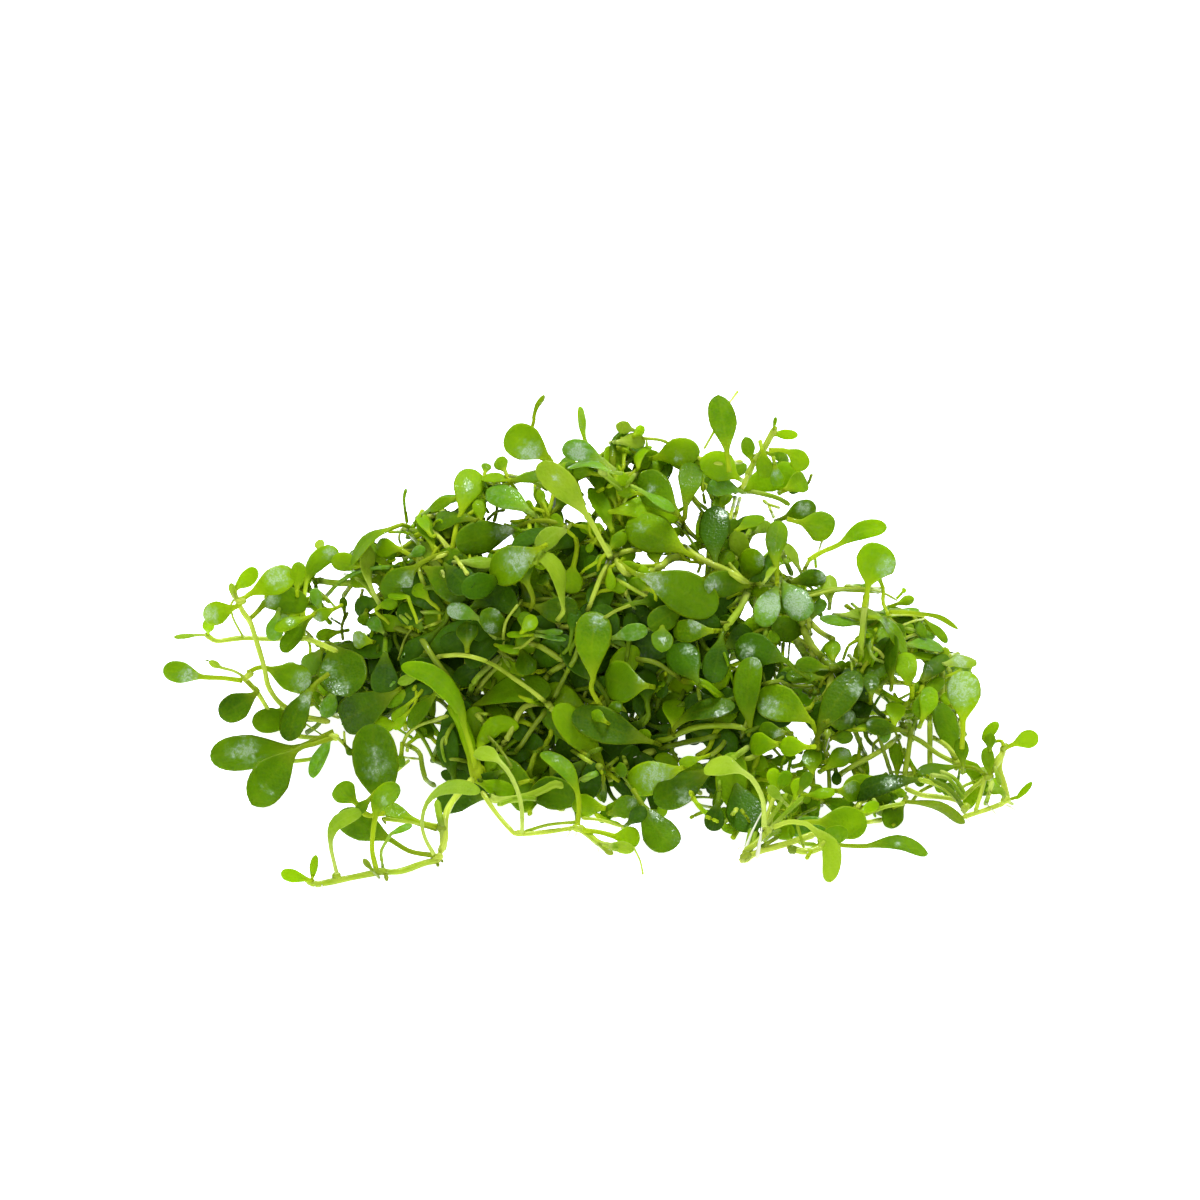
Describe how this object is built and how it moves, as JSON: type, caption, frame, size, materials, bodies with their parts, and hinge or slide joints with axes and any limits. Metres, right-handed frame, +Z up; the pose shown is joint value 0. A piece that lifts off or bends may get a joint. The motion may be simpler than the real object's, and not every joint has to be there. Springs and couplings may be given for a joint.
{
  "type": "glossostigma elatinoides clump",
  "caption": "Loose wet heap of an aquarium carpet plant: creeping pale runners with paired spoon-shaped green leaves and fine white roots, resting flat on a surface.",
  "frame": {"origin": "on the table under the middle of the heap, on the flat underside", "axes": "+Z up; +X along the heap's length, to the right as seen from the front; +Y towards its back, so the front faces -Y"},
  "size_m": [0.0723, 0.0493, 0.0316],
  "materials": {
    "leaf_green": "satin",
    "leaf_bright": "satin",
    "leaf_pale": "satin",
    "runner": "satin",
    "root": "satin",
    "foliage": "satin"
  },
  "bodies": {
    "root": {"runner_left_top": "runner", "runner_left_upper": "runner", "runner_left_lower": "runner", "runner_front_left": "runner", "runner_front_left_rise": "runner", "runner_front_left_branch": "runner", "runner_front_middle": "runner", "runner_front_middle_end": "runner", "runner_cut_end": "runner", "runner_cut_side": "runner", "runner_front_fork": "runner", "runner_right_low": "runner", "runner_right_rise": "runner", "runner_right_inner": "runner", "runner_right_back": "runner", "runner_top_sprig": "runner", "leaf_far_left": "leaf_bright", "leaf_left_upper": "leaf_green", "leaf_left_middle": "leaf_green", "leaf_left_hanging": "leaf_green", "leaf_left_large": "leaf_green", "leaf_left_pale": "leaf_bright", "leaf_left_round": "leaf_green", "leaf_left_glossy": "leaf_green", "leaf_front_left_low": "leaf_green", "leaf_front_left_folded": "leaf_pale", "leaf_front_left_upright": "leaf_green", "leaf_front_left_arched": "leaf_pale", "leaf_front_left_lobed": "leaf_green", "leaf_front_middle_arched": "leaf_pale", "leaf_front_middle_bright": "leaf_bright", "leaf_front_hanging": "leaf_green", "leaf_front_right_curved": "leaf_pale", "leaf_front_right_tip": "leaf_pale", "leaf_front_right_wide": "leaf_pale", "leaf_front_right_spear": "leaf_green", "leaf_right_trailing": "leaf_green", "leaf_right_end": "leaf_green", "leaf_right_glossy": "leaf_green", "leaf_right_narrow": "leaf_green", "leaf_upper_right_large": "leaf_green", "leaf_upper_right_spear": "leaf_bright", "leaf_top_tall": "leaf_bright", "leaf_top_right_round": "leaf_bright", "leaf_top_right_broad": "leaf_bright", "leaf_top_left_round": "leaf_green", "leaf_top_left_long": "leaf_pale", "leaf_top_left_blade": "leaf_green", "leaf_top_narrow": "leaf_bright", "leaf_top_glossy": "leaf_green", "tuft_west_end": "foliage", "tuft_west_front": "foliage", "tuft_west_back": "foliage", "tuft_middle_west_front": "foliage", "tuft_middle_west_back": "foliage", "tuft_middle_east_front": "foliage", "tuft_middle_east_back": "foliage", "tuft_east_front": "foliage", "tuft_east_back": "foliage", "tuft_east_end": "foliage"}
  },
  "joints": []
}
